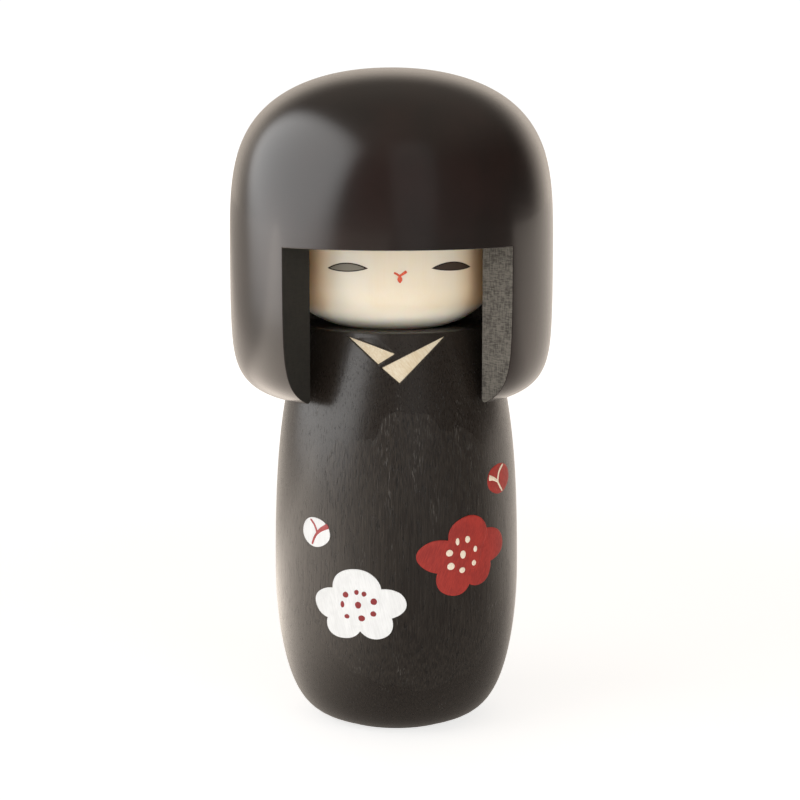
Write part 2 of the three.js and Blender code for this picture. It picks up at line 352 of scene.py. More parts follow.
class Coats:
    """Closed, slightly domed films of paint that share one mesh."""

    def __init__(self, surface, thickness):
        self.surface = surface
        self.thickness = thickness
        self.vertices = []
        self.faces = []

    def film(self, centre, rows, closed):
        """Joins rows of (along, up, height) points: tops first, then the same rows sunk into the surface."""
        base, width, count = len(self.vertices), len(rows[0]), len(rows)
        for sunk in (False, True):
            for row in rows:
                for along, up, height in row:
                    lift = -PAINT_ROOT if sunk else height
                    self.vertices.append(self.surface.point(centre, along, up, lift))
        under = base + width * count
        across = range(width) if closed else range(width - 1)
        for i in range(count - 1):
            for j in across:
                k = (j + 1) % width
                a, b, c, d = i * width + j, i * width + k, (i + 1) * width + k, (i + 1) * width + j
                self.faces.append((base + a, base + b, base + c, base + d))
                self.faces.append((under + d, under + c, under + b, under + a))
        rim = [(count - 1) * width + j for j in range(width)]
        if closed:
            self.faces.append(tuple(base + j for j in reversed(range(width))))
            self.faces.append(tuple(under + j for j in range(width)))
        else:
            left = [i * width for i in range(count)]
            right = [i * width + width - 1 for i in range(count)]
            rim = left + rim[1:] + right[::-1][1:] + list(range(width))[::-1][1:-1]
        for a, b in zip(rim, rim[1:] + rim[:1]):
            self.faces.append((base + a, base + b, under + b, under + a))

    def blob(self, centre, along, up, half_along, half_up, tilt=0.0, lift=0.0, wobble=0.0, phase=0.0):
        """An oval of paint with a slightly uneven edge."""
        steps = 44 if max(half_along, half_up) > 2 * MM else 24
        rows = []
        for share in (0.08, 0.3, 0.5, 0.68, 0.82, 0.91, 0.97, 1.0):
            height = self.thickness * sqrt(max(0.0, 1 - share**8)) + lift
            row = []
            for i in range(steps):
                turned = 2 * pi * i / steps
                edge = share * (1 + wobble * (sin(3 * turned + phase) + 0.6 * sin(5 * turned + 2.1 * phase)))
                x, y = half_along * cos(turned) * edge, half_up * sin(turned) * edge
                row.append(
                    (along + x * cos(tilt) - y * sin(tilt), up + x * sin(tilt) + y * cos(tilt), height)
                )
            rows.append(row)
        self.film(centre, rows, True)

    def stroke(self, centre, path, widths, lift=0.0):
        """A brush stroke along a bent path, whose width changes from end to end."""
        rows, count = [], 26
        for i in range(count):
            s = i / (count - 1)
            x, y, dx, dy = bend(path, s)
            size = hypot(dx, dy) or 1
            width = between(widths, s) / 2 * sqrt(max(0.02, 1 - abs(2 * s - 1) ** 14))
            row = []
            for j in range(7):
                side = -1 + j / 3
                height = self.thickness * sqrt(max(0.0, 1 - side**4)) + lift
                row.append((x - dy / size * width * side, y + dx / size * width * side, height))
            rows.append(row)
        self.film(centre, rows, False)


def between(values, s):
    """A value along a list of evenly spaced ones."""
    at = min(int(s * (len(values) - 1)), len(values) - 2)
    share = s * (len(values) - 1) - at
    return values[at] + (values[at + 1] - values[at]) * share


def bend(path, s):
    """Place and direction on a smooth line through the points of a path."""
    last = len(path) - 1
    at = min(int(s * last), last - 1)
    t = s * last - at
    p0, p1 = path[max(at - 1, 0)], path[at]
    p2, p3 = path[at + 1], path[min(at + 2, last)]
    place, slope = [], []
    for a, b, c, d in zip(p0, p1, p2, p3):
        k1, k2, k3 = (c - a) / 2, a - 2.5 * b + 2 * c - d / 2, (d - a) / 2 + 1.5 * (b - c)
        place.append(b + k1 * t + k2 * t**2 + k3 * t**3)
        slope.append(k1 + 2 * k2 * t + 3 * k3 * t**2)
    return (*place, *slope)


def scaled(*values):
    """Millimetres as metres."""
    return tuple(value * MM for value in values)


# ---- Collar: where the cuts are -----------------------------------------------------------------------

CUT_SLOPE = radians(8.5)  # the knife leans this far down towards the body
CUT_WALL = 0.16 * MM  # width of a cut's sloping side
HOLLOW_DEPTH, HOLLOW_WIDTH = 0.3 * MM, 1.5 * MM
SCRATCH_DEPTH, SCRATCH_HALF_WIDTH = 0.07 * MM, 0.22 * MM
CARVED_FROM = 76 * MM  # nothing is carved below this height
UNDER_COLLAR = ((radians(-35.4), 91.2 * MM), (radians(-3), 87.6 * MM), (radians(-12.9), 85.1 * MM))
OVER_COLLAR = ((radians(30.2), 91.4 * MM), (radians(-1.4), 81.1 * MM), (radians(-11.5), 84.6 * MM))


def flatten(bearing, radius, z):
    """A point of the surface seen along the knife's lean."""
    return radius * sin(bearing), z - radius * cos(bearing) * tan(CUT_SLOPE)


def collar_corners(corners):
    """The flat corners of a cut, from bearings and heights."""
    return [Vector(flatten(b, body_surface(z), z)) for b, z in corners]


def inside(point, corners):
    """How far a flat point is inside a triangle whose corners run clockwise."""
    depth = 1.0
    for start, end in zip(corners, corners[1:] + corners[:1]):
        along = (end - start).normalized()
        off = point - start
        depth = min(depth, off.x * along.y - off.y * along.x)
    return depth


def collar_inset(under, over, depth):
    """The carving of the collar, as a depth at each bearing and height.

    Besides the two cuts it has a shallow hollow above the under fold and the scratch of a slipped knife.
    """
    ledge = (under[1] - under[0]).normalized()
    reach = (under[1] - under[0]).length * 0.92
    slip_start = Vector(flatten(radians(5.4), 23.8 * MM, 82 * MM))
    slip = Vector(flatten(radians(-5.7), 24.9 * MM, 77.3 * MM)) - slip_start

    def at(bearing, radius, z):
        if z < CARVED_FROM or cos(bearing) < 0.5:
            return 0.0
        point = Vector(flatten(bearing, radius, z))
        cut = max(inside(point, under), inside(point, over))
        deep = depth * min(max(cut / CUT_WALL, 0.0), 1.0)
        off = point - under[0]
        along, above = off.dot(ledge) / reach, off.x * -ledge.y + off.y * ledge.x
        if 0.2 < along < 1.05 and above > 0.1 * MM:
            width = HOLLOW_WIDTH * max(0.0, 1 - ((along - 0.62) / 0.42) ** 2)
            if above < width:
                deep = max(deep, HOLLOW_DEPTH * (1 - above / width))
        share = (point - slip_start).dot(slip) / slip.length_squared
        if 0 < share < 1:
            off = abs((point - slip_start - slip * share).length)
            scratch = SCRATCH_DEPTH * sqrt(sin(pi * share))
            deep = max(deep, scratch * max(0.0, 1 - off / SCRATCH_HALF_WIDTH))
        return deep

    return at


# ---- Shader building ----------------------------------------------------------------------------------


def add(tree, kind, attributes=None, **inputs):
    """A new node. A socket as an input's value is linked, and anything else is set."""
    made = tree.nodes.new(kind)
    for name, value in (attributes or {}).items():
        setattr(made, name, value)
    for name, value in inputs.items():
        join(tree, made.inputs[name.replace("_", " ")], value)
    return made


def join(tree, socket, value):
    """Links a socket to an input, or sets the input to a plain value."""
    if isinstance(value, bpy.types.NodeSocket):
        tree.links.new(value, socket)
    else:
        socket.default_value = value


def calc(tree, operation, *values):
    """The result of a sum, from sockets or plain numbers."""
    made = tree.nodes.new("ShaderNodeMath")
    made.operation = operation
    for socket, value in zip(made.inputs, values):
        join(tree, socket, value)
    return made.outputs[0]


def ramp(tree, value, low, high, to_low=0.0, to_high=1.0):
    """A value turned smoothly from one range into another."""
    made = add(tree, "ShaderNodeMapRange", {"interpolation_type": "SMOOTHSTEP"}, Value=value)
    for socket, number in zip(made.inputs[1:5], (low, high, to_low, to_high)):
        join(tree, socket, number)
    return made.outputs[0]


def blend_colours(tree, share, first, second):
    """The first colour turned into the second as the share rises from 0 to 1."""
    made = tree.nodes.new("ShaderNodeMix")
    made.data_type = "RGBA"
    join(tree, made.inputs[0], share)
    join(tree, made.inputs[6], first)
    join(tree, made.inputs[7], second)
    return made.outputs[2]


def stretched_noise(tree, place, stretch, detail=2.0, roughness=0.5):
    """Noise whose grains have the given sizes along X, Y and Z."""
    mapped = add(tree, "ShaderNodeMapping", Vector=place, Scale=tuple(1 / size for size in stretch))
    made = add(
        tree,
        "ShaderNodeTexNoise",
        Vector=mapped.outputs[0],
        Scale=1.0,
        Detail=detail,
        Roughness=roughness,
        Distortion=0.0,
    )
    return made.outputs[0]


def new_group(name, inputs, outputs):
    """An empty shader node group with named sockets, and its input and output nodes."""
    group = bpy.data.node_groups.new(name, "ShaderNodeTree")
    for label, kind, default in inputs:
        socket = group.interface.new_socket(label, in_out="INPUT", socket_type=kind)
        if default is not None:
            socket.default_value = default
    for label in outputs:
        group.interface.new_socket(label, in_out="OUTPUT", socket_type="NodeSocketFloat")
    return group, group.nodes.new("NodeGroupInput").outputs, group.nodes.new("NodeGroupOutput").inputs


def place_group(tree, group, **inputs):
    """The outputs of a node group placed in a tree."""
    made = tree.nodes.new("ShaderNodeGroup")
    made.node_tree = group
    for name, value in inputs.items():
        join(tree, made.inputs[name.replace("_", " ")], value)
    return made.outputs


def open_grain():
    """Pores of a ring-porous wood: short streaks up the trunk, crowded together along each growth ring."""
    name = "open grain"
    if name in bpy.data.node_groups:
        return bpy.data.node_groups[name]
    group, given, made = new_group(
        name,
        [
            ("Place", "NodeSocketVector", None),
            ("Pith", "NodeSocketVector", (0.0, 0.0, 0.0)),
            ("Ring Spacing", "NodeSocketFloat", 0.005),
            ("Ring Phase", "NodeSocketFloat", 0.0),
            ("Crowding", "NodeSocketFloat", 0.1),
        ],
        ["Pores", "Waxed Pores", "Figure", "Fibre"],
    )
    place = given["Place"]
    from_pith = add(group, "ShaderNodeVectorMath", {"operation": "SUBTRACT"})
    join(group, from_pith.inputs[0], place)
    join(group, from_pith.inputs[1], given["Pith"])
    flat = add(group, "ShaderNodeVectorMath", {"operation": "MULTIPLY"})
    join(group, flat.inputs[0], from_pith.outputs[0])
    flat.inputs[1].default_value = (1, 1, 0)
    reach = add(group, "ShaderNodeVectorMath", {"operation": "LENGTH"})
    join(group, reach.inputs[0], flat.outputs[0])
    wander = stretched_noise(group, place, (0.01, 0.01, 0.022), detail=4.0)
    off = calc(group, "SUBTRACT", wander, 0.5)
    wobble = calc(group, "MULTIPLY_ADD", off, 0.0026, reach.outputs["Value"])
    year = calc(group, "ADD", calc(group, "DIVIDE", wobble, given["Ring Spacing"]), given["Ring Phase"])
    figure = calc(group, "FRACT", year)
    early = ramp(group, figure, 0.62, 0.0, 0.4, 1.0)
    streaks = stretched_noise(group, place, (0.0003, 0.0003, 0.0026), detail=1.5, roughness=0.6)
    limit = calc(group, "MULTIPLY_ADD", early, calc(group, "MULTIPLY", given["Crowding"], -1.0), 0.68)
    pores = ramp(group, calc(group, "SUBTRACT", streaks, limit), 0.0, 0.05)
    rare = stretched_noise(group, place, (0.004, 0.004, 0.02), detail=1.0)
    filled = calc(group, "MULTIPLY", pores, ramp(group, rare, 0.55, 0.7))
    join(group, made["Pores"], pores)
    join(group, made["Waxed Pores"], filled)
    join(group, made["Figure"], early)
    fibre = stretched_noise(group, place, (0.00022, 0.00022, 0.02), detail=3.0, roughness=0.65)
    join(group, made["Fibre"], fibre)
    return group


def fine_grain():
    """Faint close grain of a smooth, even wood."""
    name = "fine grain"
    if name in bpy.data.node_groups:
        return bpy.data.node_groups[name]
    inputs = [("Place", "NodeSocketVector", None)]
    group, given, made = new_group(name, inputs, ["Cloud", "Fibre", "Scratches"])
    place = given["Place"]
    join(group, made["Cloud"], stretched_noise(group, place, (0.016, 0.016, 0.03), detail=3.0))
    fibre = stretched_noise(group, place, (0.0004, 0.0004, 0.012), detail=3.0, roughness=0.6)
    join(group, made["Fibre"], fibre)
    join(group, made["Scratches"], stretched_noise(group, place, (0.006, 0.006, 0.00012)))
    return group


def brushed_paint():
    """Streaks left by a small brush, the places where paint pools, and its fine speckle."""
    name = "brushed paint"
    if name in bpy.data.node_groups:
        return bpy.data.node_groups[name]
    group, given, made = new_group(
        name,
        [("Place", "NodeSocketVector", None), ("Lean", "NodeSocketFloat", 0.0)],
        ["Streaks", "Pooling", "Speckle"],
    )
    turned = add(group, "ShaderNodeVectorRotate", {"rotation_type": "Y_AXIS"}, Angle=given["Lean"])
    join(group, turned.inputs["Vector"], given["Place"])
    place = turned.outputs[0]
    join(group, made["Streaks"], stretched_noise(group, place, (0.00028, 0.00028, 0.004), roughness=0.6))
    join(group, made["Pooling"], stretched_noise(group, place, (0.003, 0.003, 0.004)))
    join(group, made["Speckle"], stretched_noise(group, place, (0.0003, 0.0003, 0.0003)))
    return group


def new_material(name):
    """An empty material: its tree, its shader and the place on the piece."""
    material = bpy.data.materials.new(name)
    material.use_nodes = True
    tree = material.node_tree
    shader = tree.nodes["Principled BSDF"]
    place = tree.nodes.new("ShaderNodeTexCoord").outputs["Object"]
    return material, tree, shader, place


def raise_grain(tree, shader, height, distance, strength=1.0):
    """Lets a height stand out of the surface by a distance."""
    bump = add(tree, "ShaderNodeBump", Height=height, Distance=distance, Strength=strength)
    tree.links.new(bump.outputs[0], shader.inputs["Normal"])


def stained_wood():
    """The body: near-black stain over open grain, with pale wax left in a few pores."""
    colours = bpy.context.scene.kokeshi_colours
    material, tree, shader, place = new_material("stained open-grained wood")
    grain = place_group(
        tree, open_grain(), Place=place, Pith=scaled(-0.8, 6.55, 0), Ring_Spacing=8.2 * MM, Ring_Phase=0.06
    )
    rubbed = ramp(tree, grain["Figure"], 0.3, 1.0, 0.4, 1.0)
    worn = calc(tree, "MULTIPLY", ramp(tree, grain["Fibre"], 0.35, 0.75), rubbed)
    base = blend_colours(tree, worn, tuple(colours.stain), tuple(colours.stain_worn))
    base = blend_colours(tree, calc(tree, "MULTIPLY", grain["Pores"], 0.6), base, tuple(colours.pore))
    waxed = calc(tree, "MULTIPLY", grain["Waxed Pores"], 0.55)
    base = blend_colours(tree, waxed, base, tuple(colours.pore_wax))
    join(tree, shader.inputs["Base Color"], base)
    dull = calc(tree, "MULTIPLY_ADD", grain["Figure"], 0.1, calc(tree, "MULTIPLY", grain["Fibre"], 0.08))
    join(tree, shader.inputs["Roughness"], calc(tree, "ADD", dull, 0.2))
    shader.inputs["Coat Weight"].default_value = 0.35
    shader.inputs["Coat Roughness"].default_value = 0.16
    fibre = calc(tree, "MULTIPLY", grain["Fibre"], calc(tree, "MULTIPLY_ADD", grain["Figure"], 0.3, 0.1))
    raise_grain(tree, shader, calc(tree, "SUBTRACT", fibre, grain["Pores"]), 0.15 * MM, 1.0)
    return material


def hair_lacquer():
    """The hair: dark brown lacquer, polished over a close grain."""
    colours = bpy.context.scene.kokeshi_colours
    material, tree, shader, place = new_material("polished hair lacquer")
    grain = place_group(tree, fine_grain(), Place=place)
    cast = ramp(tree, grain["Cloud"], 0.35, 0.7)
    base = blend_colours(tree, cast, tuple(colours.lacquer), tuple(colours.lacquer_warm))
    join(tree, shader.inputs["Base Color"], base)
    join(tree, shader.inputs["Roughness"], ramp(tree, grain["Scratches"], 0.2, 0.8, 0.22, 0.27))
    shader.inputs["Coat Weight"].default_value = 0.4
    shader.inputs["Coat Roughness"].default_value = 0.1
    waves = calc(tree, "MULTIPLY_ADD", grain["Fibre"], 0.12, grain["Cloud"])
    raise_grain(tree, shader, waves, 0.05 * MM, 0.5)
    return material


def sawn_wood(name, light, dark, rough):
    """Flat sawn faces of the hair: fibres up the strip and fine saw lines across it."""
    material, tree, shader, place = new_material(name)
    upright = stretched_noise(tree, place, (0.00032, 0.00032, 0.0016), roughness=0.6)
    across = stretched_noise(tree, place, (0.0016, 0.0016, 0.00028), roughness=0.6)
    patches = stretched_noise(tree, place, (0.003, 0.003, 0.004))
    weave = calc(tree, "MULTIPLY_ADD", upright, 0.35, calc(tree, "MULTIPLY", across, 0.45))
    weave = calc(tree, "MULTIPLY_ADD", patches, 0.2, weave)
    base = blend_colours(tree, ramp(tree, weave, 0.38, 0.6), dark, light)
    join(tree, shader.inputs["Base Color"], base)
    shader.inputs["Roughness"].default_value = 0.72
    shader.inputs["Specular IOR Level"].default_value = 0.3
    raise_grain(tree, shader, weave, 0.08 * MM, rough)
    return material


def pale_wood():
    """The face: pale waxed wood, with painted shade browning its sides and painted light paling the
    underside of the chin.
    """
    colours = bpy.context.scene.kokeshi_colours
    material, tree, shader, place = new_material("pale waxed wood")
    grain = place_group(tree, fine_grain(), Place=place)
    depth = calc(tree, "MULTIPLY_ADD", grain["Fibre"], 0.15, calc(tree, "MULTIPLY", grain["Cloud"], 0.85))
    base = blend_colours(tree, ramp(tree, depth, 0.35, 0.7), tuple(colours.skin), tuple(colours.skin_deep))
    split = add(tree, "ShaderNodeSeparateXYZ", Vector=place).outputs
    aside = calc(tree, "ABSOLUTE", calc(tree, "SUBTRACT", split["X"], head_axis()))
    sizes = bpy.context.scene.kokeshi_sizes
    # Painted shade: the face turns browner towards its sides, the further it lies from the head's axis
    painted_side_shade = ramp(tree, aside, 0.5 * sizes.drum_radius, 0.9 * sizes.drum_radius, 0.0, 0.75)
    base = blend_colours(tree, painted_side_shade, base, tuple(colours.skin_painted_shade))
    # Painted light: the underside of the chin turns paler near its bottom, where it lies in shade
    chin = ramp(tree, split["Z"], DRUM_LOW.z + 7 * MM, DRUM_LOW.z + 3 * MM)
    base = blend_colours(tree, chin, base, tuple(colours.skin_painted_light))
    join(tree, shader.inputs["Base Color"], base)
    join(tree, shader.inputs["Roughness"], ramp(tree, grain["Cloud"], 0.2, 0.8, 0.36, 0.42))
    shader.inputs["Coat Weight"].default_value = 0.2
    shader.inputs["Coat Roughness"].default_value = 0.25
    shader.inputs["Subsurface Weight"].default_value = 0.4
    shader.inputs["Subsurface Radius"].default_value = (0.006, 0.004, 0.0022)
    shader.inputs["Subsurface Scale"].default_value = 1.0
    raise_grain(tree, shader, grain["Cloud"], 0.03 * MM, 0.3)
    return material


def paint(name, light, dark, lean=0.0, roughness=0.5, strength=0.6):
    """Brushed paint between two colours."""
    material, tree, shader, place = new_material(name)
    brush = place_group(tree, brushed_paint(), Place=place, Lean=lean)
    tone = calc(tree, "MULTIPLY_ADD", brush["Streaks"], 0.55, calc(tree, "MULTIPLY", brush["Pooling"], 0.45))
    base = blend_colours(tree, ramp(tree, tone, 0.34, 0.66), light, dark)
    join(tree, shader.inputs["Base Color"], base)
    rough = ramp(tree, brush["Streaks"], 0.2, 0.8, roughness - 0.08, roughness + 0.08)
    join(tree, shader.inputs["Roughness"], rough)
    shader.inputs["Specular IOR Level"].default_value = 0.35
    relief = calc(tree, "MULTIPLY_ADD", brush["Speckle"], 0.4, brush["Streaks"])
    raise_grain(tree, shader, relief, 0.04 * MM, strength)
    return material


def bare_dowel():
    """The dowels: bare beech."""
    colours = bpy.context.scene.kokeshi_colours
    material, tree, shader, place = new_material("bare beech")
    grain = place_group(tree, fine_grain(), Place=place)
    base = tuple(colours.dowel)
    darker = (base[0] * 0.7, base[1] * 0.65, base[2] * 0.55, 1)
    tone = ramp(tree, grain["Fibre"], 0.35, 0.7)
    join(tree, shader.inputs["Base Color"], blend_colours(tree, tone, base, darker))
    shader.inputs["Roughness"].default_value = 0.7
    raise_grain(tree, shader, grain["Fibre"], 0.03 * MM, 0.6)
    return material


# ---- Painted pieces -----------------------------------------------------------------------------------


def head_axis():
    """How far the head's axis is to one side of the body's."""
    return (HAIR_LOW.x + HAIR_HIGH.x) / 2


def painted_piece(name, coats, body, material):
    """A piece made of films of paint."""
    piece = new_piece(name, coats.vertices, coats.faces, body)
    piece.data.materials.append(material)


def paint_petals(name, centre, petals, material):
    """Overlapping ovals, each a little above the last: place and half sizes in millimetres, and tilt."""
    coats = Coats(Surface(body_surface), bpy.context.scene.kokeshi_sizes.paint_thickness)
    for i, (*oval, tilt) in enumerate(petals):
        coats.blob(centre, *scaled(*oval), tilt=tilt, lift=COAT_STEP * i, wobble=0.014, phase=1.7 * i)
    painted_piece(name, coats, "body", material)


def paint_dots(name, centre, dots, material):
    """Thick dots round the middle of a blossom: place and half sizes in millimetres."""
    coats = Coats(Surface(body_surface), DOT_THICKNESS)
    for dot in dots:
        coats.blob(centre, *scaled(*dot), wobble=0.02, phase=dot[0])
    painted_piece(name, coats, "body", material)


# ---- Operators ----------------------------------------------------------------------------------------


class KOKESHI_OT_body(Operator):
    """Turn the barrel body and carve its collar"""

    bl_idname = "kokeshi.body"
    bl_label = "Body"

    def execute(self, context):
        sizes = context.scene.kokeshi_sizes
        under, over = collar_corners(UNDER_COLLAR), collar_corners(OVER_COLLAR)
        fine = spread(radians(-38), radians(33), 284)
        bearings = fine + spread(radians(33), radians(322), 144)
        outline = body_outline(76.5 * MM)
        vertices, faces = turn(outline, bearings, inset=collar_inset(under, over, sizes.collar_depth))
        piece = new_piece("wooden_body", vertices, faces, "body", "body")
        piece.data.set_sharp_from_angle(angle=radians(32))
        piece.data.materials.append(stained_wood())
        return {"FINISHED"}


class KOKESHI_OT_face(Operator):
    """Turn the pale drum of the face"""

    bl_idname = "kokeshi.face"
    bl_label = "Face drum"

    def execute(self, context):
        vertices, faces = turn(drum_outline(), spread(0, 2 * pi, 240), axis_x=head_axis())
        piece = new_piece("pale_face", vertices, faces, "head", "face_drum")
        piece.data.set_sharp_from_angle(angle=radians(40))
        piece.data.materials.append(pale_wood())
        return {"FINISHED"}


class KOKESHI_OT_hair(Operator):
    """Turn the bob of hair, bore it and saw the window out of its front"""

    bl_idname = "kokeshi.hair"
    bl_label = "Hair"

    def execute(self, context):
        sizes = context.scene.kokeshi_sizes
        half = sizes.window_angle / 2
        outside, hollow = hair_outline()
        bearings = spread(-half, half, 59) + spread(half, 2 * pi - half, 191)
        vertices, faces = turn((outside + hollow[1:])[::-1], bearings, axis_x=head_axis())
        piece = new_piece("hair", vertices, faces, "head", "hair_bob")
        colours = context.scene.kokeshi_colours
        finishes = (
            hair_lacquer(),
            sawn_wood("sawn stained wood", tuple(colours.sawn), tuple(colours.sawn_dark), 0.7),
            # The left cut's darker copy of the sawn wood is painted shade
            sawn_wood("sawn wood in painted shade", tuple(colours.sawn_painted_shade), tuple(colours.pores_painted_shade), 0.1),
        )
        for finish in finishes:
            piece.data.materials.append(finish)
        for polygon in piece.data.polygons[: len(bearings) * (len(hollow) - 1)]:
            polygon.material_index = 1
        cutter = self.window(sizes, half, finishes)
        cut = piece.modifiers.new("window", "BOOLEAN")
        cut.operation, cut.solver, cut.object = "DIFFERENCE", "EXACT", cutter
        settle(piece)
        bpy.data.objects.remove(cutter)
        soften = piece.modifiers.new("sawn edges", "BEVEL")
        soften.width, soften.segments, soften.angle_limit = sizes.cut_edge, 2, radians(38)
        soften.use_clamp_overlap = False
        soften.harden_normals = True
        settle(piece)
        return {"FINISHED"}

    def window(self, sizes, half, materials):
        """The wedge that the saw takes out, with its edge on the head's axis."""
        reach, low = 2 * sizes.hair_radius, HAIR_LOW.z - 10 * MM
        side = (reach * sin(half), -reach * cos(half))
        x = head_axis()
        corners = [(x, 0), (x - side[0], side[1]), (x + side[0], side[1])]
        vertices = [(*corner, z) for z in (low, sizes.fringe_height) for corner in corners]
        faces = [(0, 2, 1), (3, 4, 5), (0, 1, 4, 3), (1, 2, 5, 4), (2, 0, 3, 5)]
        mesh = bpy.data.meshes.new("window")
        mesh.from_pydata(vertices, [], faces)
        for material in materials:
            mesh.materials.append(material)
        # The left sawn face takes the darker copy of the sawn wood, which is painted shade
        for polygon, index in zip(mesh.polygons, (1, 1, 2, 1, 1)):
            polygon.material_index = index
        cutter = bpy.data.objects.new("window", mesh)
        bpy.context.scene.collection.objects.link(cutter)
        return cutter


class KOKESHI_OT_features(Operator):
    """Paint the eyes and the mouth on the face"""

    bl_idname = "kokeshi.features"
    bl_label = "Eyes and mouth"

    def execute(self, context):
        sizes, colours = context.scene.kokeshi_sizes, context.scene.kokeshi_colours
        face = Surface(lambda z: sizes.drum_radius, head_axis())
        line = self.ink("eye outline", colours.ink, 0.5)
        # bearing in degrees, then height, half length, slope and drop of the ends in millimetres
        eyes = (
            ("left", -27.6, 106.62, 4.96, 0.024, -0.26, self.ink("thin eye ink", colours.ink_thin, 0.35)),
            ("right", 32.1, 106.69, 5.37, -0.016, -0.38, self.ink("thick eye ink", colours.ink_thick, 0.35)),
        )
        for side, bearing, height, half, slope, drop, fill in eyes:
            centre = (radians(bearing), height * MM)
            layers = (("eye_line", line, 0.0, 0.05), ("eye", fill, 0.16, 0.065))
            for name, coat, smaller, thickness in layers:
                coats = Coats(face, thickness * MM)
                long, tall = scaled(half - 3 * smaller, 1.0 - smaller)
                self.lens(coats, centre, long, tall, slope, drop * MM)
                painted_piece(f"{side}_{name}", coats, "head", coat)
        self.mouth(face, colours)
        return {"FINISHED"}

    def ink(self, name, shade, roughness):
        return paint(name, tuple(shade), tuple(shade), roughness=roughness, strength=0.1)

    def mouth(self, face, colours):
        """Two short strokes that meet over a drop."""
        coats = Coats(face, 0.06 * MM)
        centre = (radians(1.3), 104.94 * MM)
        left = [scaled(-1.2, 0.66), scaled(-0.55, 0.35), scaled(0.05, -0.1)]
        right = [scaled(1.6, 0.92), scaled(0.78, 0.39), scaled(0.05, -0.1)]
        drop = [scaled(0.1, 0.0), scaled(0.12, -0.9), scaled(0.14, -1.62)]
        coats.stroke(centre, left, scaled(0.42, 0.5, 0.46))
        coats.stroke(centre, right, scaled(0.68, 0.55, 0.46), lift=0.01 * MM)
        coats.blob(centre, *scaled(0.12, -0.8, 0.55, 0.66), lift=0.02 * MM)
        coats.stroke(centre, drop, scaled(0.46, 1.0, 0.23), lift=0.03 * MM)
        lips = paint("mouth ink", tuple(colours.lips), tuple(colours.lips_deep), strength=0.3)
        painted_piece("mouth", coats, "head", lips)

    def lens(self, coats, centre, half_long, half_tall, slope, drop):
        """A closed almond: two flat arcs that meet in points."""
        rows, steps = [], 60
        for share in (0.05, 0.3, 0.55, 0.75, 0.9, 0.97, 1.0):
            height = coats.thickness * sqrt(max(0.0, 1 - share**8))
            row = []
            for i in range(steps):
                turned = 2 * pi * i / steps
                x = cos(turned)
                tall = (1 - x * x) ** 0.9
                y = tall * (1 if turned < pi else -1) * half_tall
                along = x * half_long * share
                row.append((along, y * share + slope * along + drop * (x * share) ** 2, height))
            rows.append(row)
        coats.film(centre, rows, True)


class KOKESHI_OT_collar(Operator):
    """Paint the two folds of the collar in their cuts"""

    bl_idname = "kokeshi.collar"
    bl_label = "Collar"

    def execute(self, context):
        sizes, colours = context.scene.kokeshi_sizes, context.scene.kokeshi_colours
        tones = (tuple(colours.collar), tuple(colours.collar_worn))
        cream = paint("collar cream", *tones, lean=0.6, roughness=0.6, strength=0.7)
        for name, corners in (("under_collar", UNDER_COLLAR), ("over_collar", OVER_COLLAR)):
            vertices, faces = self.fold(collar_corners(corners), sizes.collar_depth)
            piece = new_piece(name, vertices, faces, "body")
            piece.data.set_sharp_from_angle(angle=radians(40))
            piece.data.materials.append(cream)
        return {"FINISHED"}

    def fold(self, corners, depth, steps=40):
        """A closed film on the floor of a cut, drawn back a little from the cut's sides."""
        middle = (corners[0] + corners[1] + corners[2]) / 3
        back = scaled(0.12, 0.3, 0.25)
        drawn = [corner + (middle - corner).normalized() * gap for corner, gap in zip(corners, back)]
        first, second = (drawn[1] - drawn[0]) / steps, (drawn[2] - drawn[0]) / steps
        vertices, faces, index = [], [], {}
        for sunk in (0, 1):
            for i in range(steps + 1):
                for j in range(steps + 1 - i):
                    flat = drawn[0] + first * i + second * j
                    lift = -PAINT_ROOT if sunk else 0.06 * MM
                    index[sunk, i, j] = len(vertices)
                    vertices.append(self.floor_point(flat, depth, lift))
        for sunk in (0, 1):
            for i in range(steps):
                for j in range(steps - i):
                    tri = [index[sunk, i, j], index[sunk, i, j + 1], index[sunk, i + 1, j]]
                    faces.append(tri if not sunk else tri[::-1])
                    if j < steps - i - 1:
                        tri = [index[sunk, i + 1, j], index[sunk, i, j + 1], index[sunk, i + 1, j + 1]]
                        faces.append(tri if not sunk else tri[::-1])
        rim = [(i, 0) for i in range(steps)] + [(steps - j, j) for j in range(steps)]
        rim += [(0, steps - i) for i in range(steps)]
        for (i, j), (k, m) in zip(rim, rim[1:] + rim[:1]):
            faces.append([index[0, i, j], index[0, k, m], index[1, k, m], index[1, i, j]])
        return vertices, faces

    def floor_point(self, flat, depth, lift):
        """The point of a cut's floor that lies behind a flat point, along the knife's lean."""
        z = flat.y
        for _ in range(8):
            radius = body_skin(z) - depth + lift
            z = flat.y + sqrt(max(radius**2 - flat.x**2, 0)) * tan(CUT_SLOPE)
        return flat.x, -sqrt(max(radius**2 - flat.x**2, 0)), z


